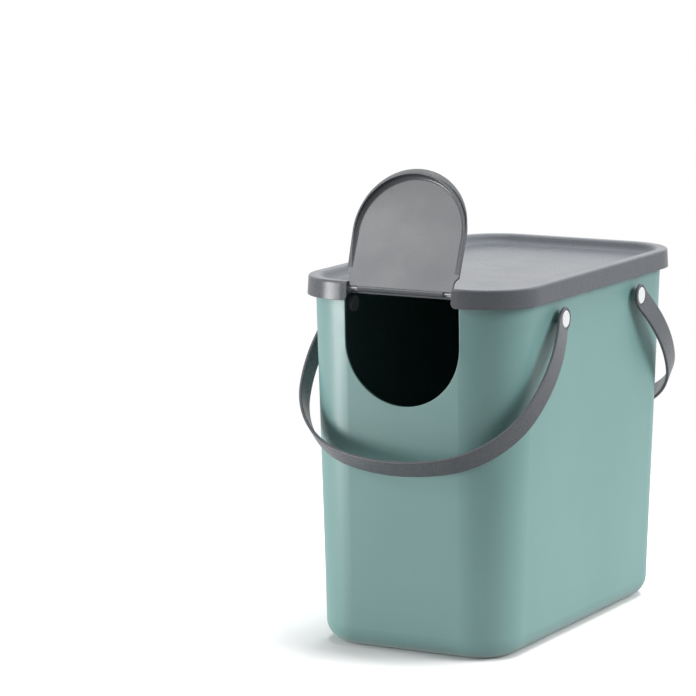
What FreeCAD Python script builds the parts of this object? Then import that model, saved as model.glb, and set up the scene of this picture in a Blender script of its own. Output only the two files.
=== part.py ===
import FreeCAD, Part
import math
import os
import re
import Sketcher

# Waste sorting bin: a tapered container, a lift-off lid with a tray top, a front flap that
# swings on two pins in the lid's rim, and two strap handles on rivets in the long sides.
# Millimetres and degrees. X is the width, the front faces -Y, and the base stands on Z = 0.

SIZES = (
    # Lid
    ("lid_width", 235.0, "lid across the long sides, at the foot of its rim"),
    ("lid_depth", 400.0, "lid from front to back, at the foot of its rim"),
    ("total_height", 350.0, "floor to the top of the rim"),
    ("rim_height", 18.0, "height of the rim's outer face"),
    ("rim_inset", 1.0, "top of the rim's outer face inside its foot"),
    ("rim_edge", 2.0, "rounding of the rim's outer top edge"),
    ("lid_corner", 57.0, "corner radius of the lid at the foot of its rim"),
    ("lid_wall", 2.5, "wall of the lid"),
    ("tray_depth", 9.0, "tray floor below the top of the rim"),
    ("tray_slope", 28.0, "lean of the tray's wall from upright, in degrees"),
    ("tray_fillet", 10.0, "rounding where the tray floor meets its wall"),
    ("tray_edge", 5.3, "rounding of the rim's inner top edge"),
    # Container
    ("lid_overhang", 6.45, "container's top edge behind the lid's outer face"),
    ("taper", 11.05, "how far each wall leans out from the floor to the top edge"),
    ("tub_corner", 54.0, "corner radius of the container at its top edge"),
    ("base_fillet", 20.0, "rounding of the container's lower edge"),
    ("wall", 2.5, "wall of the container"),
    ("flange_height", 4.0, "height of the flange round the container's top"),
    ("flange_gap", 0.5, "play between the flange and the lid's skirt"),
    ("channel_gap", 0.5, "play between the container's wall and the lid's tray"),
    # Flap and its hinge
    ("hinge_inset", 6.5, "hinge axis behind the lid's front"),
    ("hinge_drop", 6.0, "hinge axis below the top of the rim"),
    ("gap_width", 107.8, "gap in the front of the rim, between its two ends"),
    ("rim_end_radius", 5.0, "rounding of the lower corner of each rim end"),
    ("deck_setback", 3.5, "front edge of the tray floor behind the hinge axis"),
    ("flap_lean", 16.6, "open flap's lean past upright"),
    ("flap_width", 115.0, "flap across its straight sides"),
    ("flap_length", 115.2, "hinge axis to the tip of the finger lip"),
    ("finger_lip", 5.0, "finger lip beyond the flap's own wall, at the tip"),
    ("finger_lip_wall", 2.0, "thickness of the finger lip"),
    ("neck_gap", 0.5, "play between the flap's neck and each rim end"),
    ("neck_length", 8.0, "straight part of the neck, from the hinge axis"),
    ("neck_foot", 1.0, "lower edge of the neck's panel, from the hinge axis"),
    ("shoulder_radius", 7.8, "hollow between the neck and the shoulder"),
    ("panel_wall", 2.4, "thickness of the flap's panel"),
    ("panel_slope", 5.1, "slope of the panel against the flap's edge"),
    ("panel_fillet", 4.0, "rounding where the panel meets the flap's side wall"),
    ("side_wall", 1.5, "thickness of the flap's side wall"),
    ("recess_start", 18.0, "where the panel starts to sink below the edge, from the axis"),
    ("barrel_radius", 3.2, "hinge barrel of the flap"),
    ("pin_slot", 9.7, "bare stretch of each hinge pin, beside the barrel"),
    ("pin_radius", 1.5, "hinge pin"),
    ("pin_play", 0.05, "running fit of the barrel on the pins"),
    ("pin_press", 0.02, "fit of the pins in the rim ends"),
    ("pin_seat", 8.0, "pin's length in the rim end"),
    ("pin_reach", 12.0, "pin's length in the barrel"),
    ("bearing_wall", 2.0, "rim end beyond the pin's seat"),
    ("bearing_foot", 6.0, "rim end's block below the hinge axis"),
    ("heel_reach", 6.2, "stop heel behind the hinge axis, when open"),
    ("heel_rise", 1.0, "top of the stop heel above the hinge axis, when open"),
    ("heel_root", 7.0, "where the heel runs out into the panel"),
    ("stop_gap", 0.05, "heel above the tray floor, when open"),
    ("notch_lap", 6.7, "finger lip's lap over the notch's lower edge"),
    ("notch_gap", 1.5, "play between the flap and the notch at each side"),
    ("block_gap", 0.8, "play between the rim ends' blocks and the container"),
    # Handles and their rivets
    ("rivet_setback", 112.0, "rivets behind the lid's front, and before its back"),
    ("rivet_depth", 19.7, "rivets below the foot of the lid's rim"),
    ("bow_clearance", 19.0, "hanging handle's bow beyond the container's top edge"),
    ("handle_reach", 180.7, "rivets to the middle of the handle's bow"),
    ("handle_level", 59.5, "rivets to where the handle is widest"),
    ("eye_inset", 2.0, "inner face of the handle's eye behind the lid's side"),
    ("eye_flat", 5.0, "flat start of the strap above the rivet"),
    ("eye_bend", 14.0, "bend that leads the strap outwards"),
    ("eye_gap", 0.3, "play between the eye and its boss"),
    ("strap_width", 22.4, "strap, and the round eye at each of its ends"),
    ("strap_wall", 3.0, "strap"),
    ("strap_edge", 0.9, "rounding of the strap's long edges"),
    ("side_radius", 192.0, "strap beside the lid"),
    ("corner_radius", 95.0, "strap at the shoulders of the bow"),
    ("bow_radius", 195.0, "strap along the bow"),
    ("boss_radius", 5.6, "boss on the container's wall"),
    ("boss_inside", 1.0, "boss inside the container's wall"),
    ("rivet_radius", 4.0, "shank of the rivet"),
    ("rivet_play", 0.05, "running fit of the handle on the rivet"),
    ("rivet_press", 0.02, "fit of the rivet in its boss and cap"),
    ("head_radius", 8.2, "white button of the rivet"),
    ("head_height", 1.5, "white button of the rivet"),
    ("head_edge", 0.8, "rounding of the button"),
    ("head_gap", 0.35, "ring between the button and its seat in the strap"),
    ("seat_depth", 1.4, "seat of the button in the strap"),
    ("cap_radius", 8.0, "cap on the rivet's inner end"),
    ("cap_height", 3.5, "cap on the rivet's inner end"),
    ("cap_socket", 2.5, "depth of the cap's socket"),
    ("cap_edge", 1.0, "rounding of the cap"),
    ("seat_play", 0.05, "play under the button and at the shank's end"),
    ("cut_margin", 10.0, "how far a cut runs past what it cuts"),
)

doc = FreeCAD.newDocument("SortingBin")
sheet = doc.addObject("Spreadsheet::Sheet", "Sizes")
for row, (alias, number, note) in enumerate(SIZES, start=1):
    sheet.set(f"A{row}", note)
    sheet.set(f"B{row}", str(number))
    sheet.setAlias(f"B{row}", alias)
doc.recompute()
ALIASES = {alias for alias, number, note in SIZES}
NEAR = 0.01  # two levels this close count as one
bodies = []

# Heights above the floor, half sizes and corner radii that several pieces share
RIM_FOOT = "(total_height - rim_height)"
CEILING = "(total_height - lid_wall)"
DECK = "(total_height - tray_depth)"
DECK_UNDERSIDE = f"({DECK} - lid_wall)"
LID_X = "(lid_width / 2)"
LID_Y = "(lid_depth / 2)"
SKIRT = "lid_wall"
FLANGE = "(lid_wall + flange_gap)"
TUB_X = f"({LID_X} - lid_overhang)"
TUB_Y = f"({LID_Y} - lid_overhang)"
CHANNEL = "(wall + channel_gap)"
TRAY = "(lid_overhang + wall + channel_gap + lid_wall)"
TRAY_FOOT = f"({TRAY} + tray_depth * tan(tray_slope) + tray_fillet * tan(45 - tray_slope / 2))"
HINGE_Y = f"({LID_Y} - hinge_inset)"
HINGE_Z = "(total_height - hinge_drop)"
GAP_X = "(gap_width / 2)"
BARREL_X = f"({GAP_X} - pin_slot)"
FLAP_X = "(flap_width / 2)"
NECK_X = f"({GAP_X} - neck_gap)"
DECK_FRONT = f"({HINGE_Y} - deck_setback)"
BLOCK_FOOT = f"({HINGE_Z} - bearing_foot)"
BLOCK_X = f"({GAP_X} + pin_seat + bearing_wall)"
PIVOT_Y = f"({LID_Y} - rivet_setback)"
PIVOT_Z = f"({RIM_FOOT} - rivet_depth)"
HANDLE_SLOPE = f"(acos(({TUB_Y} - {PIVOT_Y} + bow_clearance) / handle_reach) / 1 deg)"
EYE_INSIDE = f"({LID_X} - eye_inset)"
EYE_MIDDLE = f"({EYE_INSIDE} + strap_wall / 2)"
HEAD_SEAT = f"({EYE_INSIDE} + strap_wall - seat_depth)"
BOSS_FACE = f"({EYE_INSIDE} - eye_gap)"
BOSS_INNER_FACE = f"({TUB_X} - taper * ({CEILING} - {PIVOT_Z}) / {CEILING} - wall - boss_inside)"


def tie(text):
    """An expression with the sheet's name before each of its sizes."""
    return re.sub(r"[a-z_]+", lambda word: f"Sizes.{word[0]}" if word[0] in ALIASES else word[0], text)


def size(text):
    """The number that an expression gives."""
    return float(sheet.evalExpression(text))


def minus(text):
    """An expression with its sign turned."""
    return f"(-({text}))"


class Outline:
    """A sketch on one of a body's own planes, with every point tied to the sheet."""

    def __init__(self, body, name, plane, lift="0"):
        self.sketch = body.newObject("Sketcher::SketchObject", name)
        support = next(part for part in body.Origin.OriginFeatures if part.Role == plane)
        self.sketch.AttachmentSupport = [(support, "")]
        self.sketch.MapMode = "FlatFace"
        self.sketch.setExpression("AttachmentOffset.Base.z", tie(lift))

    def tie_last(self, index, text):
        """Bind one constraint to an expression."""
        self.sketch.setExpression(f"Constraints[{index}]", tie(text))

    def hold(self, kind, geometry, point, text):
        """Hold one coordinate of a point, measured from the origin."""
        number = size(text)
        if abs(number) < 1e-9:
            axis = -2 if kind == "DistanceX" else -1
            self.sketch.addConstraint(Sketcher.Constraint("PointOnObject", geometry, point, axis))
        elif number > 0:
            rule = Sketcher.Constraint(kind, -1, 1, geometry, point, number)
            self.tie_last(self.sketch.addConstraint(rule), text)
        else:
            rule = Sketcher.Constraint(kind, geometry, point, -1, 1, -number)
            self.tie_last(self.sketch.addConstraint(rule), minus(text))

    def circle(self, x, y, radius):
        """Add a circle."""
        centre = FreeCAD.Vector(size(x), size(y), 0)
        shape = Part.Circle(centre, FreeCAD.Vector(0, 0, 1), size(radius))
        geometry = self.sketch.addGeometry(shape, False)
        self.hold("DistanceX", geometry, 3, x)
        self.hold("DistanceY", geometry, 3, y)
        rule = Sketcher.Constraint("Radius", geometry, size(radius))
        self.tie_last(self.sketch.addConstraint(rule), radius)

    def loop(self, *steps):
        """Add a closed outline: each step ends at (x, y), and an arc also gives its centre and turn."""
        joints = []
        ends = [FreeCAD.Vector(size(step[0]), size(step[1]), 0) for step in steps]
        for place, step in enumerate(steps):
            start, end = ends[place - 1], ends[place]
            if len(step) == 2:
                geometry = self.sketch.addGeometry(Part.LineSegment(start, end), False)
                joints.append((geometry, 1, 2))
                continue
            centre = FreeCAD.Vector(size(step[2]), size(step[3]), 0)
            turn = step[4]
            first, last = (start, end) if turn > 0 else (end, start)
            from_angle = math.atan2(first.y - centre.y, first.x - centre.x)
            to_angle = math.atan2(last.y - centre.y, last.x - centre.x)
            circle = Part.Circle(centre, FreeCAD.Vector(0, 0, 1), centre.distanceToPoint(start))
            geometry = self.sketch.addGeometry(Part.ArcOfCircle(circle, from_angle, to_angle), False)
            joints.append((geometry, 1, 2) if turn > 0 else (geometry, 2, 1))
        for place, step in enumerate(steps):
            geometry, start_point, end_point = joints[place]
            before, before_start, before_end = joints[place - 1]
            rule = Sketcher.Constraint("Coincident", before, before_end, geometry, start_point)
            self.sketch.addConstraint(rule)
        for place, step in enumerate(steps):
            geometry, start_point, end_point = joints[place]
            self.hold("DistanceX", geometry, end_point, step[0])
            self.hold("DistanceY", geometry, end_point, step[1])
            if len(step) > 2:
                chord = ends[place] - ends[place - 1]
                level = abs(chord.x) > abs(chord.y)
                kind, text = ("DistanceY", step[3]) if level else ("DistanceX", step[2])
                self.hold(kind, geometry, 3, text)

    def rectangle(self, low_x, low_y, high_x, high_y):
        """Add an upright rectangle."""
        self.loop((high_x, low_y), (high_x, high_y), (low_x, high_y), (low_x, low_y))

    def rounded_rectangle(self, half_x, half_y, radius):
        """Add a rectangle with round corners about the origin."""
        flat_x, flat_y = f"({half_x} - {radius})", f"({half_y} - {radius})"
        self.loop(
            (half_x, flat_y),
            (flat_x, half_y, flat_x, flat_y, 1),
            (minus(flat_x), half_y),
            (minus(half_x), flat_y, minus(flat_x), flat_y, 1),
            (minus(half_x), minus(flat_y)),
            (minus(flat_x), minus(half_y), minus(flat_x), minus(flat_y), 1),
            (flat_x, minus(half_y)),
            (half_x, minus(flat_y), flat_x, minus(flat_y), 1),
        )

    def lid_contour(self, inset):
        """Add the lid's contour, moved in by an inset."""
        self.rounded_rectangle(f"({LID_X} - {inset})", f"({LID_Y} - {inset})", f"(lid_corner - {inset})")

    def tub_contour(self, inset):
        """Add the contour of the container's top edge, moved in by an inset."""
        self.rounded_rectangle(f"({TUB_X} - {inset})", f"({TUB_Y} - {inset})", f"(tub_corner - {inset})")

    def arch_band(self, foot, outer, outer_tip, inner, inner_tip):
        """Add a band between two arches that share the level of their feet."""
        outer_level, inner_level = f"({outer_tip} - {outer})", f"({inner_tip} - {inner})"
        self.loop(
            (outer, foot),
            (outer, outer_level),
            (minus(outer), outer_level, "0", outer_level, 1),
            (minus(outer), foot),
            (minus(inner), foot),
            (minus(inner), inner_level),
            (inner, inner_level, "0", inner_level, -1),
            (inner, foot),
        )


def new_body(label):
    """A body for one piece."""
    body = doc.addObject("PartDesign::Body", label)
    body.Label = label
    bodies.append(body)
    return body


def place(body, y, z, turn_axis, turn):
    """Put a body at its height and depth, turned about one axis."""
    rotation = FreeCAD.Rotation(turn_axis, size(turn))
    body.Placement = FreeCAD.Placement(FreeCAD.Vector(0, size(y), size(z)), rotation)
    body.setExpression("Placement.Base.y", tie(y))
    body.setExpression("Placement.Base.z", tie(z))
    body.setExpression("Placement.Rotation.Angle", tie(turn))


def extrude(body, kind, name, outline, length, side="One side", backwards=False, slope="0"):
    """Pad or pocket an outline, with sloping walls if need be, and see that it changes the body."""
    doc.recompute()
    before = body.Shape.Volume if body.Tip and not body.Shape.isNull() else 0.0
    feature = body.newObject(f"PartDesign::{kind}", name)
    feature.Profile = outline.sketch
    feature.SideType = side
    feature.Reversed = backwards
    feature.setExpression("Length", tie(length))
    feature.setExpression("TaperAngle", tie(slope))
    doc.recompute()
    change = body.Shape.Volume - before
    if change == 0 or (change > 0) != (kind == "Pad"):
        raise RuntimeError(f"{body.Label}: {name} changes the volume by {change:.3f}")
    return feature


def draft(body, name, lean, rise, outwards):
    """Lean the upright walls of a pad from its lower face, outwards or inwards."""
    base = body.Tip
    faces = [f"Face{place}" for place, face in enumerate(base.Shape.Faces, start=1)
             if abs(face.normalAt(0, 0).z) < NEAR]
    lowest = min(range(len(base.Shape.Faces)), key=lambda place: base.Shape.Faces[place].CenterOfMass.z)
    feature = body.newObject("PartDesign::Draft", name)
    feature.Base = (base, faces)
    feature.NeutralPlane = (base, [f"Face{lowest + 1}"])
    feature.Reversed = outwards
    feature.setExpression("Angle", tie(f"atan({lean} / {rise})"))
    doc.recompute()
    if (feature.Shape.Volume > base.Shape.Volume) != outwards:
        raise RuntimeError(f"{body.Label}: {name} leans the wrong way")
    return feature


def shell(body, name, wall, level):
    """Hollow a body from the face at one level."""
    base = body.Tip
    height = size(level)
    faces = [f"Face{place}" for place, face in enumerate(base.Shape.Faces, start=1)
             if abs(face.BoundBox.ZMin - height) < NEAR]
    feature = body.newObject("PartDesign::Thickness", name)
    feature.Base = (base, faces)
    feature.Reversed = True
    feature.setExpression("Value", tie(wall))
    doc.recompute()
    return feature


def fillet(body, name, radius, chosen):
    """Round the edges of the body that a test chooses."""
    base = body.Tip
    edges = [f"Edge{place}" for place, edge in enumerate(base.Shape.Edges, start=1) if chosen(edge)]
    if not edges:
        raise RuntimeError(f"{body.Label}: {name} finds no edge")
    feature = body.newObject("PartDesign::Fillet", name)
    feature.Base = (base, edges)
    feature.setExpression("Radius", tie(radius))
    doc.recompute()
    return feature


def turned(body, *steps):
    """Turn an outline about the X axis."""
    outline = Outline(body, "Section", "XY_Plane")
    outline.loop(*steps)
    feature = body.newObject("PartDesign::Revolution", "Turned")
    feature.Profile = outline.sketch
    feature.ReferenceAxis = (outline.sketch, ["H_Axis"])
    doc.recompute()
    return feature


def at_level(level, inside=None):
    """A test for edges that lie at one height, within a half width if that is given."""
    height = size(level)
    reach = size(inside) + NEAR if inside else math.inf

    def chosen(edge):
        box = edge.BoundBox
        return abs(box.ZMin - height) < NEAR and abs(box.ZMax - height) < NEAR and box.XMax < reach

    return chosen


def make_container():
    """Tapered tub with a flange, a U-shaped notch in its front and four bosses."""
    body = new_body("container")
    foot = Outline(body, "Foot", "XY_Plane")
    foot.tub_contour("taper")
    extrude(body, "Pad", "Blank", foot, CEILING)
    draft(body, "Taper", "taper", CEILING, True)
    fillet(body, "LowerEdge", "base_fillet", at_level("0"))
    shell(body, "Tub", "wall", CEILING)
    flange = Outline(body, "FlangeOutline", "XY_Plane", CEILING)
    flange.lid_contour(FLANGE)
    flange.tub_contour("wall / 2")
    extrude(body, "Pad", "Flange", flange, "flange_height", backwards=True)

    # The notch is a U, with a wider step at its top for the blocks of the lid's rim ends
    half = f"({FLAP_X} + notch_gap)"
    bottom = f"({HINGE_Z} - flap_length + notch_lap)"
    level = f"({bottom} + {half})"
    step_x, step_z = f"({BLOCK_X} + block_gap)", f"({BLOCK_FOOT} - block_gap)"
    above = f"({CEILING} + cut_margin)"
    notch = Outline(body, "NotchOutline", "XZ_Plane", f"{LID_Y} + cut_margin")
    notch.loop(
        (minus(half), level),
        (half, level, "0", level, 1),
        (half, step_z),
        (step_x, step_z),
        (step_x, above),
        (minus(step_x), above),
        (minus(step_x), step_z),
        (minus(half), step_z),
    )
    extrude(body, "Pocket", "Notch", notch, "lid_overhang + taper + 3 * cut_margin")

    for side, sign, backwards in (("Right", "", False), ("Left", "-", True)):
        bosses = Outline(body, f"{side}BossOutline", "YZ_Plane", f"{sign}{BOSS_INNER_FACE}")
        bosses.circle(PIVOT_Y, PIVOT_Z, "boss_radius")
        bosses.circle(minus(PIVOT_Y), PIVOT_Z, "boss_radius")
        extrude(body, "Pad", f"{side}Bosses", bosses, f"{BOSS_FACE} - {BOSS_INNER_FACE}",
                backwards=backwards)
    bores = Outline(body, "BoreOutline", "YZ_Plane")
    bores.circle(PIVOT_Y, PIVOT_Z, "rivet_radius + rivet_press")
    bores.circle(minus(PIVOT_Y), PIVOT_Z, "rivet_radius + rivet_press")
    extrude(body, "Pocket", "Bores", bores, f"2 * ({BOSS_FACE} + cut_margin)", "Symmetric")


def make_lid():
    """Lid with a shallow tray, a skirt over the container's flange and a gap for the flap."""
    body = new_body("lid")
    foot = Outline(body, "RimFoot", "XY_Plane", RIM_FOOT)
    foot.lid_contour("0")
    extrude(body, "Pad", "Blank", foot, "rim_height")
    draft(body, "RimDraft", "rim_inset", "rim_height", False)
    fillet(body, "RimEdge", "rim_edge", at_level("total_height"))

    tray = Outline(body, "TrayOutline", "XY_Plane", "total_height")
    tray.lid_contour(TRAY)
    extrude(body, "Pocket", "Tray", tray, "tray_depth", slope=minus("tray_slope"))
    fillet(body, "TrayFloorEdge", "tray_fillet", at_level(DECK))
    fillet(body, "TrayTopEdge", "tray_edge", at_level("total_height", f"{LID_X} - {TRAY}"))

    skirt = Outline(body, "SkirtOutline", "XY_Plane", RIM_FOOT)
    skirt.lid_contour(SKIRT)
    extrude(body, "Pocket", "Skirt", skirt, f"{DECK_UNDERSIDE} - {RIM_FOOT}", backwards=True)
    channel = Outline(body, "ChannelOutline", "XY_Plane", DECK_UNDERSIDE)
    channel.lid_contour(SKIRT)
    channel.tub_contour(CHANNEL)
    extrude(body, "Pocket", "Channel", channel, f"{CEILING} - {DECK_UNDERSIDE}", backwards=True)

    # The gap in the front rim, with the lower corners of the rim ends rounded
    flare = f"({GAP_X} + rim_end_radius)"
    level = f"({RIM_FOOT} + rim_end_radius)"
    above, below = "(total_height + cut_margin)", f"({RIM_FOOT} - cut_margin)"
    gap = Outline(body, "GapOutline", "XZ_Plane", f"{LID_Y} + cut_margin")
    gap.loop(
        (GAP_X, above),
        (minus(GAP_X), above),
        (minus(GAP_X), level),
        (minus(flare), RIM_FOOT, minus(flare), level, -1),
        (minus(flare), below),
        (flare, below),
        (flare, RIM_FOOT),
        (GAP_X, level, flare, level, -1),
    )
    extrude(body, "Pocket", "Gap", gap, f"{LID_Y} + cut_margin - {DECK_FRONT}")
    sill = Outline(body, "SillOutline", "XY_Plane", DECK)
    front, rear = minus(f"{LID_Y} + cut_margin"), minus(f"{LID_Y} - {TRAY_FOOT}")
    sill.rectangle(minus(GAP_X), front, GAP_X, rear)
    extrude(body, "Pocket", "Sill", sill, "tray_depth + cut_margin", backwards=True)

    front, rear = minus(f"{LID_Y} - {SKIRT} / 2"), minus(f"{TUB_Y} - {CHANNEL} - lid_wall / 2")
    blocks = Outline(body, "BlockOutline", "XY_Plane", BLOCK_FOOT)
    blocks.rectangle(GAP_X, front, BLOCK_X, rear)
    blocks.rectangle(minus(BLOCK_X), front, minus(GAP_X), rear)
    extrude(body, "Pad", "Blocks", blocks, f"{CEILING} - {BLOCK_FOOT} + lid_wall / 2")
    seats = Outline(body, "PinSeatOutline", "YZ_Plane")
    seats.circle(minus(HINGE_Y), HINGE_Z, "pin_radius + pin_press")
    extrude(body, "Pocket", "PinSeats", seats, f"2 * ({GAP_X} + pin_seat)", "Symmetric")


def make_flap():
    """Tongue-shaped flap: a sunk panel, a side wall, a finger lip, a barrel and a stop heel."""
    body = new_body("flap")
    back, face = "(barrel_radius - panel_wall)", "barrel_radius"
    wall_tip = "(flap_length - finger_lip)"
    wall_level = f"({wall_tip} - {FLAP_X})"
    hollow_x = f"({NECK_X} + shoulder_radius)"
    hollow_run = f"sqrt(shoulder_radius ^ 2 - ({hollow_x} - {FLAP_X}) ^ 2)"
    shoulder = f"(neck_length + {hollow_run})"

    panel = Outline(body, "PanelOutline", "XY_Plane", back)
    panel.loop(
        (FLAP_X, "neck_foot"),
        (FLAP_X, wall_level),
        (minus(FLAP_X), wall_level, "0", wall_level, 1),
        (minus(FLAP_X), "neck_foot"),
    )
    extrude(body, "Pad", "Panel", panel, "panel_wall")

    # The side wall is made too high, rounded into the panel and then cut to the edge's slope
    edge_height = "(flap_length * tan(panel_slope) + 2 * panel_fillet)"
    inner_x = f"({FLAP_X} - side_wall)"
    inner_tip = f"({wall_tip} - side_wall)"
    side = Outline(body, "SideWallOutline", "XY_Plane", back)
    side.arch_band("neck_foot", FLAP_X, wall_tip, inner_x, inner_tip)
    extrude(body, "Pad", "SideWall", side, f"panel_wall + {edge_height}")
    panel_level, reach = size(face), size(inner_x) + NEAR

    def panel_edge(edge):
        box = edge.BoundBox
        level = abs(box.ZMin - panel_level) < NEAR and abs(box.ZMax - panel_level) < NEAR
        return level and box.XMax < reach and box.XMin > -reach and box.YLength > size("panel_fillet")

    fillet(body, "PanelEdge", "panel_fillet", panel_edge)
    far = "(flap_length + cut_margin)"
    far_level = f"({face} + ({far} - recess_start) * tan(panel_slope))"
    high = f"({far_level} + {edge_height})"
    slope = Outline(body, "SlopeOutline", "YZ_Plane")
    slope.loop(
        ("recess_start", face),
        (far, far_level),
        (far, high),
        (minus("cut_margin"), high),
        (minus("cut_margin"), face),
    )
    extrude(body, "Pocket", "Slope", slope, "2 * flap_width", "Symmetric")

    below, beside = minus("cut_margin"), f"({FLAP_X} + cut_margin)"
    shoulders = Outline(body, "ShoulderOutline", "XY_Plane", back)
    shoulders.loop(
        (NECK_X, below),
        (beside, below),
        (beside, shoulder),
        (FLAP_X, shoulder),
        (NECK_X, "neck_length", hollow_x, "neck_length", 1),
    )
    shoulders.loop(
        (minus(beside), below),
        (minus(NECK_X), below),
        (minus(NECK_X), "neck_length"),
        (minus(FLAP_X), shoulder, minus(hollow_x), "neck_length", 1),
        (minus(beside), shoulder),
    )
    extrude(body, "Pocket", "Shoulders", shoulders, f"panel_wall + {edge_height}", backwards=True)

    # The finger lip stands out from the foot of the side wall, behind its edge
    inner_x, inner_tip = f"({FLAP_X} - side_wall / 2)", f"({wall_tip} - side_wall / 2)"
    lip = Outline(body, "FingerLipOutline", "XY_Plane", face)
    lip.arch_band(f"({wall_level} - finger_lip)", FLAP_X, "flap_length", inner_x, inner_tip)
    extrude(body, "Pad", "FingerLip", lip, "finger_lip_wall")

    barrel = Outline(body, "BarrelOutline", "YZ_Plane")
    barrel.circle("0", "0", "barrel_radius")
    extrude(body, "Pad", "Barrel", barrel, f"2 * {BARREL_X}", "Symmetric")

    # The heel behind the barrel comes down level on the tray floor when the flap is open
    lean = "(flap_lean + panel_slope)"
    drop = "(tray_depth - hinge_drop - stop_gap)"

    def turned_back(depth, height):
        """A point of the open flap, given behind and above the hinge axis."""
        return (
            f"({depth} * sin({lean}) + {height} * cos({lean}))",
            f"({height} * sin({lean}) - {depth} * cos({lean}))",
        )

    heel = Outline(body, "HeelOutline", "YZ_Plane")
    heel.loop(
        turned_back("0", minus(drop)),
        turned_back("heel_reach", minus(drop)),
        turned_back("heel_reach", "heel_rise"),
        ("heel_root", back),
        ("heel_root", f"({back} + panel_wall / 2)"),
    )
    extrude(body, "Pad", "Heel", heel, f"2 * {BARREL_X}", "Symmetric")
    bore = Outline(body, "BarrelBoreOutline", "YZ_Plane")
    bore.circle("0", "0", "pin_radius + pin_play")
    extrude(body, "Pocket", "BarrelBore", bore, f"2 * ({BARREL_X} + cut_margin)", "Symmetric")
    place(body, minus(HINGE_Y), HINGE_Z, FreeCAD.Vector(1, 0, 0), f"90 - {lean}")


def strap_edge(outline, offset):
    """Add one edge of half a strap: a straight start, a bend outwards, then three arcs up to the bow.

    The offset moves the edge outwards from the strap's middle, and every arc keeps its centre.
    """
    sketch = outline.sketch
    texts = {
        "start": f"({EYE_MIDDLE} + {offset})",
        "bend": f"(eye_bend - {offset})",
        "side": f"(side_radius + {offset})",
        "corner": f"(corner_radius + {offset})",
        "bow": f"(bow_radius + {offset})",
        "reach": f"(handle_reach + {offset})",
    }
    start, bend, side, corner, bow, reach = (size(text) for text in texts.values())
    blank_foot = minus("strap_width / 2 + cut_margin")
    flat, below, level = size("eye_flat"), size(blank_foot), size("handle_level")
    lean = math.asin((level - flat) / (bend + side))
    bend_centre = FreeCAD.Vector(start + bend, flat, 0)
    side_centre = bend_centre - FreeCAD.Vector(math.cos(lean), -math.sin(lean), 0) * (bend + side)
    bow_centre = FreeCAD.Vector(0, reach - bow, 0)
    between = bow_centre - side_centre
    apart = between.Length
    along = ((side - corner) ** 2 - (bow - corner) ** 2 + apart ** 2) / (2 * apart)
    across = math.sqrt((side - corner) ** 2 - along ** 2)
    direction = between / apart
    sideways = FreeCAD.Vector(-direction.y, direction.x, 0)
    middle = side_centre + direction * along
    corner_centre = max((middle + sideways * across, middle - sideways * across), key=lambda spot: spot.x)
    to_corner = math.atan2(corner_centre.y - side_centre.y, corner_centre.x - side_centre.x)
    to_bow = math.atan2(corner_centre.y - bow_centre.y, corner_centre.x - bow_centre.x)

    def arc(centre, radius, low, high):
        circle = Part.Circle(centre, FreeCAD.Vector(0, 0, 1), radius)
        return sketch.addGeometry(Part.ArcOfCircle(circle, low, high), False)

    foot, knee = FreeCAD.Vector(start, below, 0), FreeCAD.Vector(start, flat, 0)
    straight = sketch.addGeometry(Part.LineSegment(foot, knee), False)
    bend_arc = arc(bend_centre, bend, math.pi - lean, math.pi)
    side_arc = arc(side_centre, side, -lean, to_corner)
    corner_arc = arc(corner_centre, corner, to_corner, to_bow)
    bow_arc = arc(bow_centre, bow, to_bow, math.pi / 2)
    rules = (
        ("Vertical", straight),
        ("Tangent", straight, 2, bend_arc, 2),
        ("Tangent", bend_arc, 1, side_arc, 1),
        ("Tangent", side_arc, 2, corner_arc, 1),
        ("Tangent", corner_arc, 2, bow_arc, 1),
        ("PointOnObject", bow_arc, 3, -2),
    )
    for rule in rules:
        sketch.addConstraint(Sketcher.Constraint(*rule))
    for geometry, name in ((bend_arc, "bend"), (side_arc, "side"), (corner_arc, "corner"), (bow_arc, "bow")):
        rule = Sketcher.Constraint("Radius", geometry, size(texts[name]))
        outline.tie_last(sketch.addConstraint(rule), texts[name])
    outline.hold("DistanceX", straight, 1, texts["start"])
    outline.hold("DistanceY", straight, 1, blank_foot)
    outline.hold("DistanceY", straight, 2, "eye_flat")
    outline.hold("DistanceY", side_arc, 3, "handle_level")
    outline.hold("DistanceX", bow_arc, 2, "0")
    outline.hold("DistanceY", bow_arc, 2, texts["reach"])
    return (straight, 1, foot), (bow_arc, 2, FreeCAD.Vector(0, reach, 0))


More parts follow.
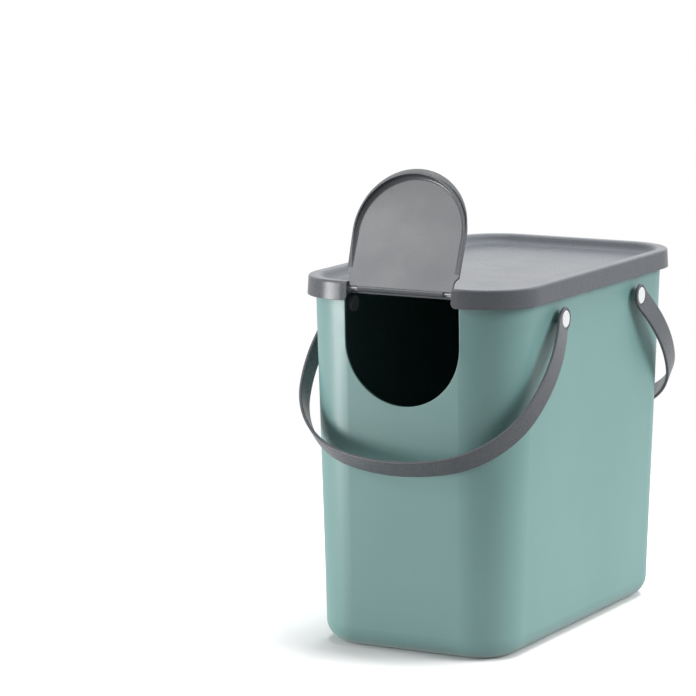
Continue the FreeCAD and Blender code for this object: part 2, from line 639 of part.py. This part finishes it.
def make_handle(label, y, turn):
    """Flat strap handle with an eye at each end, hanging from its rivets."""
    body = new_body(label)
    ribbon = Outline(body, "RibbonOutline", "XY_Plane")
    inner_ends = strap_edge(ribbon, "(-strap_wall / 2)")
    outer_ends = strap_edge(ribbon, "(strap_wall / 2)")
    for inner, outer in zip(inner_ends, outer_ends):
        line = ribbon.sketch.addGeometry(Part.LineSegment(inner[2], outer[2]), False)
        ribbon.sketch.addConstraint(Sketcher.Constraint("Coincident", line, 1, inner[0], inner[1]))
        ribbon.sketch.addConstraint(Sketcher.Constraint("Coincident", line, 2, outer[0], outer[1]))
    strap = extrude(body, "Pad", "Ribbon", ribbon, "strap_width + 2 * cut_margin", "Symmetric")
    seat_outline = Outline(body, "SeatOutline", "YZ_Plane", HEAD_SEAT)
    seat_outline.circle("0", "0", "head_radius + head_gap")
    seat = extrude(body, "Pocket", "Seat", seat_outline, "strap_wall", backwards=True)
    bore_outline = Outline(body, "BoreOutline", "YZ_Plane", f"{EYE_INSIDE} - strap_wall")
    bore_outline.circle("0", "0", "rivet_radius + rivet_play")
    bore = extrude(body, "Pocket", "Bore", bore_outline, "3 * strap_wall", backwards=True)
    mirrored = body.newObject("PartDesign::Mirrored", "OtherHalf")
    mirrored.Originals = [strap, seat, bore]
    plane = next(part for part in body.Origin.OriginFeatures if part.Role == "YZ_Plane")
    mirrored.MirrorPlane = (plane, [""])
    body.Tip = mirrored
    doc.recompute()

    # Seen from the side, the strap ends in round eyes
    half = "(strap_width / 2)"
    far, around = "(handle_reach + 2 * cut_margin)", f"({half} + 2 * cut_margin)"
    contour = Outline(body, "ContourOutline", "YZ_Plane")
    contour.rectangle(minus(around), minus(around), f"({far} + cut_margin)", around)
    contour.loop((far, half), ("0", half), ("0", minus(half), "0", "0", 1), (far, minus(half)))
    extrude(body, "Pocket", "Contour", contour, "2 * lid_width", "Symmetric")
    edge_level = size(half)

    def long_edge(edge):
        box = edge.BoundBox
        level = box.ZLength < NEAR and abs(abs(box.ZMin) - edge_level) < NEAR
        return level and edge.Length > size("strap_wall + strap_edge")

    fillet(body, "LongEdges", "strap_edge", long_edge)
    place(body, y, PIVOT_Z, FreeCAD.Vector(1, 0, 0), turn)
    doc.recompute()


def make_rivet(label, y, turn):
    """White button with a shank that carries the handle and passes through the wall."""
    body = new_body(label)
    shank_end = f"({BOSS_INNER_FACE} - cap_socket + seat_play)"
    under = f"({HEAD_SEAT} + seat_play)"
    top = f"({under} + head_height)"
    shoulder, crown = f"({top} - head_edge)", "(head_radius - head_edge)"
    turned(
        body,
        (shank_end, "0"),
        (top, "0"),
        (top, crown),
        (shoulder, "head_radius", shoulder, crown, 1),
        (under, "head_radius"),
        (under, "rivet_radius"),
        (shank_end, "rivet_radius"),
    )
    place(body, y, PIVOT_Z, FreeCAD.Vector(0, 0, 1), turn)


def make_rivet_cap(label, y, turn):
    """Cap with a socket, pressed on the rivet's end inside the container."""
    body = new_body(label)
    top = f"({BOSS_INNER_FACE} - cap_height)"
    floor = f"({BOSS_INNER_FACE} - cap_socket)"
    bore = "(rivet_radius + rivet_press)"
    shoulder, crown = f"({top} + cap_edge)", "(cap_radius - cap_edge)"
    turned(
        body,
        (floor, "0"),
        (floor, bore),
        (BOSS_INNER_FACE, bore),
        (BOSS_INNER_FACE, "cap_radius"),
        (shoulder, "cap_radius"),
        (top, crown, shoulder, crown, 1),
        (top, "0"),
    )
    place(body, y, PIVOT_Z, FreeCAD.Vector(0, 0, 1), turn)


def make_flap_pin(label, turn, y):
    """Hinge pin between a rim end and the flap's barrel."""
    body = new_body(label)
    inner, outer = f"({BARREL_X} - pin_reach)", f"({GAP_X} + pin_seat - seat_play)"
    turned(body, (outer, "0"), (outer, "pin_radius"), (inner, "pin_radius"), (inner, "0"))
    place(body, y, HINGE_Z, FreeCAD.Vector(0, 0, 1), turn)


make_container()
make_lid()
make_flap()
make_handle("front_handle", minus(PIVOT_Y), f"180 + {HANDLE_SLOPE}")
make_handle("rear_handle", PIVOT_Y, f"360 - {HANDLE_SLOPE}")
for side_name, half_turn in (("right", "0"), ("left", "180")):
    make_flap_pin(f"flap_pin_{side_name}", half_turn, minus(HINGE_Y))
    for end_name, depth in (("front", minus(PIVOT_Y)), ("rear", PIVOT_Y)):
        make_rivet(f"rivet_{end_name}_{side_name}", depth, half_turn)
        make_rivet_cap(f"rivet_cap_{end_name}_{side_name}", depth, half_turn)
doc.recompute()

for item in doc.Objects:
    if "Invalid" in item.State or "Error" in item.State:
        raise RuntimeError(f"{item.Label} did not build: {item.State}")
for body in bodies:
    if body.Shape.isNull() or not body.Shape.isValid() or len(body.Shape.Solids) != 1:
        raise RuntimeError(f"{body.Label} is not one valid solid")
os.makedirs("parts", exist_ok=True)
for body in bodies:
    body.Shape.exportStep(os.path.join("parts", f"{body.Label}.step"))
    box = body.Shape.optimalBoundingBox(False, False)
    print(f"{body.Label}: {body.Shape.Volume / 1000:.2f} cm3,",
          f"x {box.XMin:.1f} to {box.XMax:.1f}, y {box.YMin:.1f} to {box.YMax:.1f},",
          f"z {box.ZMin:.1f} to {box.ZMax:.1f}")
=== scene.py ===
"""Looks of a waste sorting bin: finishes, softened edges, light and camera round its CAD frame."""

import logging
from dataclasses import dataclass
from enum import Enum

import bmesh
import bpy
from mathutils import Euler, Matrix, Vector

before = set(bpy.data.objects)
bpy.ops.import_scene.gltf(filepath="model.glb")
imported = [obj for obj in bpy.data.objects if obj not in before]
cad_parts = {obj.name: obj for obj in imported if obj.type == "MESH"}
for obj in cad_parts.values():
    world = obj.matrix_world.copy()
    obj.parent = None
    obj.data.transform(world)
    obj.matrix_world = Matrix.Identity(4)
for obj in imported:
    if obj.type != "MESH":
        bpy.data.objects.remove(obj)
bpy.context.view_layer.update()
LOG = logging.getLogger("sorting_bin")
NODES: dict[str, bpy.types.Object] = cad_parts

Colour = tuple[float, float, float]
Point = tuple[float, float, float]
Band = tuple[float, float]
Socket = bpy.types.NodeSocket

RISING: Band = (0.0, 1.0)
FALLING: Band = (1.0, 0.0)
MIDDLE: Band = (0.3, 0.7)
PURE_WHITE = (1.0, 1.0, 1.0, 1.0)


class Slot(Enum):
    """Material slots of the record."""

    SAGE = "sage_plastic"
    ANTHRACITE = "anthracite_plastic"
    WHITE = "white_plastic"
    STEEL = "pin_steel"


@dataclass(frozen=True)
class Noise:
    """A noise pattern.

    Attributes:
        scale: Waves per metre.
        detail: Number of finer octaves.
        stretch: Factor on the coordinates along X, Y and Z, or None for the plain ones.
    """

    scale: float
    detail: float
    stretch: Point | None = None


class NodeSheet:
    """A material's node tree, with short calls for the nodes that the finishes use.

    Attributes:
        MIX_COLOURS: Places of a Mix node's two colours among its inputs.
        MIX_RESULT: Place of its colour among its outputs.
        ROUNDING_SAMPLES: Rays that round an edge.
        EDGE_COSINES: Cosine between the rounded and the plain normal, on a flat face and at an edge.
        CREVICE_SAMPLES: Rays that look for narrow corners.
        CREVICE_VIEWS: Free share of the surroundings, in a narrow corner and on an open face.
    """

    MIX_COLOURS = (6, 7)
    MIX_RESULT = 2
    ROUNDING_SAMPLES = 6
    EDGE_COSINES: Band = (0.995, 0.8)
    CREVICE_SAMPLES = 8
    CREVICE_VIEWS: Band = (0.4, 0.9)

    def __init__(self, name: str) -> None:
        """Start an empty tree.

        Args:
            name: Name of the material.
        """
        self.material = bpy.data.materials.new(name)
        self.material.use_nodes = True
        self.tree = self.material.node_tree
        self.tree.nodes.clear()
        self.coordinates = self.add("ShaderNodeTexCoord").outputs["Object"]

    def add(self, kind: str, **settings: object) -> bpy.types.Node:
        """Add a node.

        Args:
            kind: Type name of the node.
            settings: Properties to set on it.

        Returns:
            The new node.
        """
        node = self.tree.nodes.new(kind)
        for name, value in settings.items():
            setattr(node, name, value)
        return node

    def feed(self, target: Socket, value: object) -> None:
        """Link a socket to an input, or set the input's own value.

        Args:
            target: The input.
            value: A socket to link, or a number, colour or vector to set.
        """
        if isinstance(value, Socket):
            self.tree.links.new(value, target)
        else:
            target.default_value = value

    def noise(self, pattern: Noise) -> Socket:
        """Add a noise pattern.

        Args:
            pattern: Its scale, detail and stretch.

        Returns:
            The pattern, from 0 to 1.
        """
        vector = self.coordinates
        if pattern.stretch is not None:
            mapping = self.add("ShaderNodeMapping")
            self.feed(mapping.inputs["Vector"], vector)
            self.feed(mapping.inputs["Scale"], pattern.stretch)
            vector = mapping.outputs["Vector"]
        node = self.add("ShaderNodeTexNoise")
        self.feed(node.inputs["Vector"], vector)
        self.feed(node.inputs["Scale"], pattern.scale)
        self.feed(node.inputs["Detail"], pattern.detail)
        return node.outputs["Fac"]

    def remap(self, value: Socket, span: Band, result: Band = RISING) -> Socket:
        """Map one range of a pattern smoothly to another, clamped.

        Args:
            value: The pattern.
            span: Start and end of its range.
            result: Result at the start and at the end.

        Returns:
            The mapped pattern.
        """
        node = self.add("ShaderNodeMapRange", interpolation_type="SMOOTHSTEP")
        for place, number in enumerate((value, *span, *result)):
            self.feed(node.inputs[place], number)
        return node.outputs["Result"]

    def join(self, operation: str, first: Socket, second: Socket | float) -> Socket:
        """Join two patterns by arithmetic.

        Args:
            operation: Name of the operation.
            first: One pattern.
            second: Another pattern, or a number.

        Returns:
            The result.
        """
        node = self.add("ShaderNodeMath", operation=operation)
        self.feed(node.inputs[0], first)
        self.feed(node.inputs[1], second)
        return node.outputs["Value"]

    def blend(self, factor: Socket, first: Socket | Colour, second: Socket | Colour) -> Socket:
        """Blend two colours.

        Args:
            factor: Share of the second colour.
            first: Colour at factor 0.
            second: Colour at factor 1.

        Returns:
            The blended colour.
        """
        node = self.add("ShaderNodeMix", data_type="RGBA")
        self.feed(node.inputs["Factor"], factor)
        for place, colour in zip(self.MIX_COLOURS, (first, second)):
            self.feed(node.inputs[place], (*colour, 1.0) if isinstance(colour, tuple) else colour)
        return node.outputs[self.MIX_RESULT]

    def rounded(self, radius: float) -> Socket:
        """Round the sharp edges of a piece in its shading.

        Args:
            radius: Radius of the rounding, in metres.

        Returns:
            The rounded normal.
        """
        node = self.add("ShaderNodeBevel", samples=self.ROUNDING_SAMPLES)
        self.feed(node.inputs["Radius"], radius)
        return node.outputs["Normal"]

    def edges(self, radius: float) -> Socket:
        """Find the edges of a piece.

        Args:
            radius: How far from an edge its mark reaches, in metres.

        Returns:
            A mark that is 0 on flat and slowly curved faces and rises at edges.
        """
        node = self.add("ShaderNodeVectorMath", operation="DOT_PRODUCT")
        self.feed(node.inputs[0], self.rounded(radius))
        self.feed(node.inputs[1], self.add("ShaderNodeNewGeometry").outputs["Normal"])
        return self.remap(node.outputs["Value"], self.EDGE_COSINES)

    def crevices(self, reach: float) -> Socket:
        """Find the narrow corners of a piece.

        Args:
            reach: How far away a facing surface may lie, in metres.

        Returns:
            A mark that is 1 in narrow corners and 0 on open faces.
        """
        node = self.add("ShaderNodeAmbientOcclusion", samples=self.CREVICE_SAMPLES, only_local=True)
        self.feed(node.inputs["Distance"], reach)
        return self.remap(node.outputs["AO"], self.CREVICE_VIEWS, FALLING)

    def bump(self, height: Socket, depth: float, below: Socket) -> Socket:
        """Raise a pattern as a bump.

        Args:
            height: The pattern.
            depth: Height of the pattern in metres.
            below: Normal of the surface that it lies on.

        Returns:
            The bumped normal.
        """
        node = self.add("ShaderNodeBump")
        self.feed(node.inputs["Distance"], depth)
        self.feed(node.inputs["Height"], height)
        self.feed(node.inputs["Normal"], below)
        return node.outputs["Normal"]

    def close(self, shader: bpy.types.Node) -> bpy.types.Material:
        """Link the shader to the output.

        Args:
            shader: The last shader of the tree.

        Returns:
            The finished material.
        """
        output = self.add("ShaderNodeOutputMaterial")
        self.feed(output.inputs["Surface"], shader.outputs[0])
        return self.material


def shade(colour: Colour, factor: float) -> Colour:
    """Make a colour lighter or darker.

    Args:
        colour: A linear colour.
        factor: Factor on each channel.

    Returns:
        The changed colour.
    """
    return tuple(min(1.0, channel * factor) for channel in colour)


@dataclass(frozen=True)
class MouldedPlastic:
    """Matt injection-moulded plastic: fine grain, faint flow marks, scuffs, rubbed edges and painted shade
    in narrow corners.

    Depths and reaches are in metres. A band is the range of a pattern over which its mark comes in, and a
    share is how strong the mark gets.
    """

    name: str
    colour: Colour
    worn_colour: Colour
    roughness: float
    specular: float
    grain_depth: float
    refraction: float = 1.49
    grain: Noise = Noise(1400.0, 3.0)
    grain_sheen: float = 0.02
    peel: Noise = Noise(210.0, 2.0)
    peel_share: float = 0.8
    sheen: Noise = Noise(26.0, 4.0)
    sheen_spread: float = 0.02
    flow: Noise = Noise(7.0, 3.0, (1.0, 1.0, 0.35))
    flow_share: float = 0.03
    scratches: Noise = Noise(38.0, 6.0, (1.0, 1.0, 9.0))
    scratch_band: Band = (0.63, 0.74)
    patches: Noise = Noise(16.0, 2.0)
    patch_band: Band = (0.52, 0.66)
    scuff_share: float = 0.12
    rubbing: Noise = Noise(90.0, 4.0)
    rub_band: Band = (0.4, 0.62)
    rub_least: float = 0.15
    rub_share: float = 0.3
    rub_reach: float = 0.0014
    worn_roughness: float = 0.18
    # The next three fields paint shade into narrow corners: how far the corner search looks, how strong
    # the painted shade gets and how dark it is.
    crevice_reach: float = 0.005
    crevice_share: float = 0.4
    corner_shade_tone: float = 0.3

    def tint(self, sheet: NodeSheet, worn: Socket) -> Socket:
        """Mix the colour with its flow marks, its worn places and painted shade in its narrow corners.

        Args:
            sheet: The material's tree.
            worn: Mark of the worn places.

        Returns:
            The colour.
        """
        dark, light = shade(self.colour, 1.0 - self.flow_share), shade(self.colour, 1.0 + self.flow_share)
        clean = sheet.blend(sheet.remap(sheet.noise(self.flow), MIDDLE), dark, light)
        used = sheet.blend(worn, clean, self.worn_colour)
        # Painted shade: narrow corners and the feet of walls are darkened in the colour itself, standing
        # in for ambient occlusion.
        painted_corner_shade = sheet.join("MULTIPLY", sheet.crevices(self.crevice_reach), self.crevice_share)
        return sheet.blend(painted_corner_shade, used, shade(self.colour, self.corner_shade_tone))

    def wear(self, sheet: NodeSheet) -> Socket:
        """Mark scuffs on the faces and rubbed edges.

        Args:
            sheet: The material's tree.

        Returns:
            A mark that is 0 where the plastic is as new.
        """
        scuffs = sheet.join(
            "MULTIPLY",
            sheet.remap(sheet.noise(self.scratches), self.scratch_band, (0.0, self.scuff_share)),
            sheet.remap(sheet.noise(self.patches), self.patch_band),
        )
        least = self.rub_least * self.rub_share
        rubbed = sheet.join(
            "MULTIPLY",
            sheet.edges(self.rub_reach),
            sheet.remap(sheet.noise(self.rubbing), self.rub_band, (least, self.rub_share)),
        )
        return sheet.join("MAXIMUM", scuffs, rubbed)

    def build(self, title: str, edge_radius: float) -> bpy.types.Material:
        """Make the material.

        Args:
            title: The sub-assembly that it is for.
            edge_radius: Rounding of the piece's edges, in metres.

        Returns:
            The material.
        """
        sheet = NodeSheet(f"{title}_{self.name}")
        worn = self.wear(sheet)
        grain = sheet.noise(self.grain)
        low, high = self.roughness - self.sheen_spread, self.roughness + self.sheen_spread
        rough = sheet.remap(sheet.noise(self.sheen), MIDDLE, (low, high))
        rough = sheet.join("ADD", rough, sheet.remap(grain, MIDDLE, (-self.grain_sheen, self.grain_sheen)))
        rough = sheet.join("ADD", rough, sheet.join("MULTIPLY", worn, self.worn_roughness))
        peel_depth = self.grain_depth * self.peel_share
        surface = sheet.bump(sheet.noise(self.peel), peel_depth, sheet.rounded(edge_radius))

        shader = sheet.add("ShaderNodeBsdfPrincipled")
        sheet.feed(shader.inputs["Base Color"], self.tint(sheet, worn))
        sheet.feed(shader.inputs["Roughness"], rough)
        sheet.feed(shader.inputs["Normal"], sheet.bump(grain, self.grain_depth, surface))
        sheet.feed(shader.inputs["Specular IOR Level"], self.specular)
        sheet.feed(shader.inputs["IOR"], self.refraction)
        return sheet.close(shader)


@dataclass(frozen=True)
class DrawnSteel:
    """Drawn steel wire with lines along the pin and a little tarnish."""

    name: str
    colour: Colour
    tarnish: Colour
    roughness: float
    lines: Noise = Noise(900.0, 3.0, (0.02, 1.0, 1.0))
    line_depth: float = 0.00002
    line_smoother: float = 0.08
    line_rougher: float = 0.1
    spots: Noise = Noise(260.0, 4.0)
    spot_band: Band = (0.5, 0.75)
    spot_share: float = 0.7

    def build(self, title: str, edge_radius: float) -> bpy.types.Material:
        """Make the material.

        Args:
            title: The sub-assembly that it is for.
            edge_radius: Rounding of the piece's edges, in metres.

        Returns:
            The material.
        """
        sheet = NodeSheet(f"{title}_{self.name}")
        lines = sheet.noise(self.lines)
        spots = sheet.remap(sheet.noise(self.spots), self.spot_band, (0.0, self.spot_share))
        low, high = self.roughness - self.line_smoother, self.roughness + self.line_rougher

        shader = sheet.add("ShaderNodeBsdfPrincipled")
        sheet.feed(shader.inputs["Base Color"], sheet.blend(spots, self.colour, self.tarnish))
        sheet.feed(shader.inputs["Roughness"], sheet.remap(lines, MIDDLE, (low, high)))
        surface = sheet.bump(lines, self.line_depth, sheet.rounded(edge_radius))
        sheet.feed(shader.inputs["Normal"], surface)
        sheet.feed(shader.inputs["Metallic"], 1.0)
        return sheet.close(shader)


FINISHES: dict[Slot, MouldedPlastic | DrawnSteel] = {
    Slot.SAGE: MouldedPlastic(
        name="sage_plastic",
        colour=(0.137, 0.258, 0.247),
        worn_colour=(0.23, 0.39, 0.36),
        roughness=0.38,
        specular=0.72,
        grain_depth=0.00002,
    ),
    Slot.ANTHRACITE: MouldedPlastic(
        name="anthracite_plastic",
        colour=(0.065, 0.071, 0.08),
        worn_colour=(0.17, 0.176, 0.184),
        roughness=0.28,
        specular=0.58,
        grain_depth=0.000003,
        scuff_share=0.06,
        rub_share=0.08,
        # Strong painted shade in the narrow corners of the lid, the flap and the handles.
        crevice_share=0.85,
    ),
    Slot.WHITE: MouldedPlastic(
        name="white_plastic",
        colour=(0.57, 0.58, 0.59),
        worn_colour=(0.5, 0.5, 0.49),
        roughness=0.34,
        specular=0.5,
        grain_depth=0.000015,
        flow_share=0.02,
        scuff_share=0.2,
        rub_share=0.15,
    ),
    Slot.STEEL: DrawnSteel(
        name="drawn_steel",
        colour=(0.36, 0.36, 0.37),
        tarnish=(0.24, 0.235, 0.23),
        roughness=0.42,
    ),
}


@dataclass
class SubAssembly:
    """CAD pieces that belong together, with the finish and the rounding of edges that they share."""

    title: str
    pieces: tuple[str, ...]
    slot: Slot
    edge_radius: float

    def dress(self) -> None:
        """Give every piece its finish."""
        material = FINISHES[self.slot].build(self.title, self.edge_radius)
        for name in self.pieces:
            piece = NODES[name]
            piece.data.materials.clear()
            piece.data.materials.append(material)
            LOG.info("%s: %s dressed in %s", self.title, name, self.slot.value)


@dataclass
class Container(SubAssembly):
    """Tapered tub with the notch in its front and the bosses of the handles."""

    title: str = "container"
    pieces: tuple[str, ...] = ("container",)
    slot: Slot = Slot.SAGE
    edge_radius: float = 0.0012


@dataclass
class Lid(SubAssembly):
    """Lift-off lid with its tray."""

    title: str = "lid"
    pieces: tuple[str, ...] = ("lid",)
    slot: Slot = Slot.ANTHRACITE
    edge_radius: float = 0.0006


@dataclass
class Flap(SubAssembly):
    """Tongue-shaped flap in the gap of the lid's rim."""

    title: str = "flap"
    pieces: tuple[str, ...] = ("flap",)
    slot: Slot = Slot.ANTHRACITE
    edge_radius: float = 0.0005


@dataclass
class HingePins(SubAssembly):
    """The two pins that the flap turns on."""

    title: str = "hinge_pins"
    pieces: tuple[str, ...] = ("flap_pin_left", "flap_pin_right")
    slot: Slot = Slot.STEEL
    edge_radius: float = 0.0003


@dataclass
class Handles(SubAssembly):
    """The two flat straps that the bin is carried by."""

    title: str = "handles"
    pieces: tuple[str, ...] = ("front_handle", "rear_handle")
    slot: Slot = Slot.ANTHRACITE
    edge_radius: float = 0.0005


@dataclass
class Rivets(SubAssembly):
    """The four buttons that the handles turn on, and their caps inside the container."""

    title: str = "rivets"
    pieces: tuple[str, ...] = tuple(
        f"{kind}_{end}_{side}"
        for kind in ("rivet", "rivet_cap")
        for end in ("front", "rear")
        for side in ("left", "right")
    )
    slot: Slot = Slot.WHITE
    edge_radius: float = 0.0006


def put_in_scene(name: str, data: bpy.types.ID) -> bpy.types.Object:
    """Make an object and link it to the scene.

    Args:
        name: Name of the object.
        data: Its mesh, lamp or camera.

    Returns:
        The object.
    """
    thing = bpy.data.objects.new(name, data)
    bpy.context.scene.collection.objects.link(thing)
    return thing


def turn_towards(place: Point, target: Point) -> Euler:
    """Turn a lamp or a camera towards a point.

    Args:
        place: Where it stands.
        target: The point.

    Returns:
        Its rotation.
    """
    return (Vector(target) - Vector(place)).to_track_quat("-Z", "Y").to_euler()


@dataclass(frozen=True)
class Lamp:
    """A soft square lamp that points at the bin.

    Attributes:
        name: Name of the lamp.
        place: Where it hangs.
        size: Length of its sides, in metres.
        power: Its power, in watts.
        mirrored: Whether shiny faces show its image.
        target: The point that it faces.
    """

    name: str
    place: Point
    size: float
    power: float
    mirrored: bool = True
    target: Point = (0.0, 0.0, 0.2)

    def build(self) -> None:
        """Hang the lamp."""
        data = bpy.data.lights.new(self.name, "AREA")
        data.shape = "SQUARE"
        data.size = self.size
        data.energy = self.power
        lamp = put_in_scene(self.name, data)
        lamp.visible_glossy = self.mirrored
        lamp.location = self.place
        lamp.rotation_euler = turn_towards(self.place, self.target)


@dataclass
class Studio:
    """Pale floor, soft light and the camera.

    Attributes:
        floor_half: Half the length of the floor's sides, in metres.
        floor_seen: The floor's colour as the camera sees it.
        floor_near: The colour of the light that it throws back near the bin.
        floor_far: The colour of the light that it throws back further away.
        floor_fade: Distances between which the near colour turns into the far one, in metres.
        floor_whitens: Distances between which the seen floor turns white, in metres.
        floor_mirrored: Share of white in the floor's image in shiny faces.
        world_light: Strength of the surrounding light.
        world_seen: Strength of the white surroundings where they are seen or mirrored.
        aim: The point that the camera faces.
        position: Where the camera stands.
        lens: Focal length, in millimetres.
        sensor: Width of the camera's sensor, in millimetres.
        lamps: The lamps.
    """

    floor_half: float = 30.0
    floor_seen: Colour = (0.74, 0.74, 0.74)
    floor_near: Colour = (0.58, 0.58, 0.58)
    floor_far: Colour = (0.12, 0.12, 0.12)
    floor_fade: Band = (0.3, 0.8)
    floor_whitens: Band = (0.35, 1.1)
    floor_mirrored: float = 0.64
    world_light: float = 0.22
    world_seen: float = 1.0
    aim: Point = (-0.101865, -0.105602, 0.271312)
    position: Point = (1.520918, -3.158823, 0.813914)
    lens: float = 189.6
    sensor: float = 36.0
    lamps: tuple[Lamp, ...] = (
        Lamp("top_panel", (0.2, 0.5, 2.6), 2.0, 140.0, mirrored=False),
        Lamp("right_panel", (2.4, 0.8, 1.6), 1.6, 88.0, mirrored=False),
        Lamp("flap_panel", (-1.7, -2.4, 2.0), 0.9, 21.0),
        Lamp("low_panel", (-0.9, -0.9, 0.12), 0.5, 11.0),
        Lamp("left_panel", (-2.3, -0.4, 0.4), 1.2, 35.0, mirrored=False),
    )

    def floor_finish(self) -> bpy.types.Material:
        """Make the floor's pale paper, which turns into the white surroundings away from the bin.

        Returns:
            The material.
        """
        sheet = NodeSheet("pale_floor")
        path = sheet.add("ShaderNodeLightPath").outputs
        spread = sheet.add("ShaderNodeVectorMath", operation="LENGTH")
        sheet.feed(spread.inputs[0], sheet.coordinates)
        distance = spread.outputs["Value"]

        beyond = sheet.join("MAXIMUM", sheet.remap(distance, self.floor_fade), path["Is Glossy Ray"])
        bounced = sheet.blend(beyond, self.floor_near, self.floor_far)
        paper = sheet.add("ShaderNodeBsdfDiffuse")
        sheet.feed(paper.inputs["Color"], sheet.blend(path["Is Camera Ray"], bounced, self.floor_seen))
        glow = sheet.add("ShaderNodeEmission")
        sheet.feed(glow.inputs["Color"], PURE_WHITE)
        sheet.feed(glow.inputs["Strength"], self.world_seen)

        seen = sheet.join("MULTIPLY", path["Is Camera Ray"], sheet.remap(distance, self.floor_whitens))
        mirrored = sheet.join("MULTIPLY", path["Is Glossy Ray"], self.floor_mirrored)
        mix = sheet.add("ShaderNodeMixShader")
        sheet.feed(mix.inputs[0], sheet.join("MAXIMUM", seen, mirrored))
        sheet.feed(mix.inputs[1], paper.outputs[0])
        sheet.feed(mix.inputs[2], glow.outputs[0])
        return sheet.close(mix)

    def build_floor(self) -> None:
        """Lay the floor."""
        mesh = bpy.data.meshes.new("floor")
        grid = bmesh.new()
        bmesh.ops.create_grid(grid, x_segments=1, y_segments=1, size=self.floor_half)
        grid.to_mesh(mesh)
        grid.free()
        floor = put_in_scene("floor", mesh)
        mesh.materials.append(self.floor_finish())

    def build_world(self) -> None:
        """Make the soft surrounding light, white where it is seen or mirrored."""
        world = bpy.data.worlds.new("studio")
        bpy.context.scene.world = world
        world.use_nodes = True
        tree = world.node_tree
        tree.nodes.clear()
        path = tree.nodes.new("ShaderNodeLightPath")
        seen = tree.nodes.new("ShaderNodeMath")
        seen.operation = "MAXIMUM"
        tree.links.new(path.outputs["Is Camera Ray"], seen.inputs[0])
        tree.links.new(path.outputs["Is Glossy Ray"], seen.inputs[1])
        strength = tree.nodes.new("ShaderNodeMapRange")
        tree.links.new(seen.outputs[0], strength.inputs["Value"])
        strength.inputs["To Min"].default_value = self.world_light
        strength.inputs["To Max"].default_value = self.world_seen
        background = tree.nodes.new("ShaderNodeBackground")
        background.inputs["Color"].default_value = PURE_WHITE
        tree.links.new(strength.outputs[0], background.inputs["Strength"])
        output = tree.nodes.new("ShaderNodeOutputWorld")
        tree.links.new(background.outputs[0], output.inputs["Surface"])

    def build_camera(self) -> None:
        """Make the camera at the photograph's viewing angle."""
        data = bpy.data.cameras.new("camera")
        data.lens = self.lens
        data.sensor_width = self.sensor
        data.clip_end = 2.0 * self.floor_half
        camera = put_in_scene("camera", data)
        camera.location = self.position
        camera.rotation_euler = turn_towards(self.position, self.aim)
        bpy.context.scene.camera = camera

    def build(self) -> None:
        """Set up the whole studio."""
        self.build_floor()
        self.build_world()
        for lamp in self.lamps:
            lamp.build()
        self.build_camera()
        bpy.context.scene.view_settings.view_transform = "Standard"
        LOG.info("studio: floor, world, %d lamps and the camera set up", len(self.lamps))


def main() -> None:
    """Dress the bin and set up the studio."""
    logging.basicConfig(level=logging.INFO, format="%(name)s: %(message)s")
    for assembly in (Container(), Lid(), Flap(), HingePins(), Handles(), Rivets()):
        assembly.dress()
    Studio().build()
    bpy.context.view_layer.update()


if __name__ == "__main__":
    main()
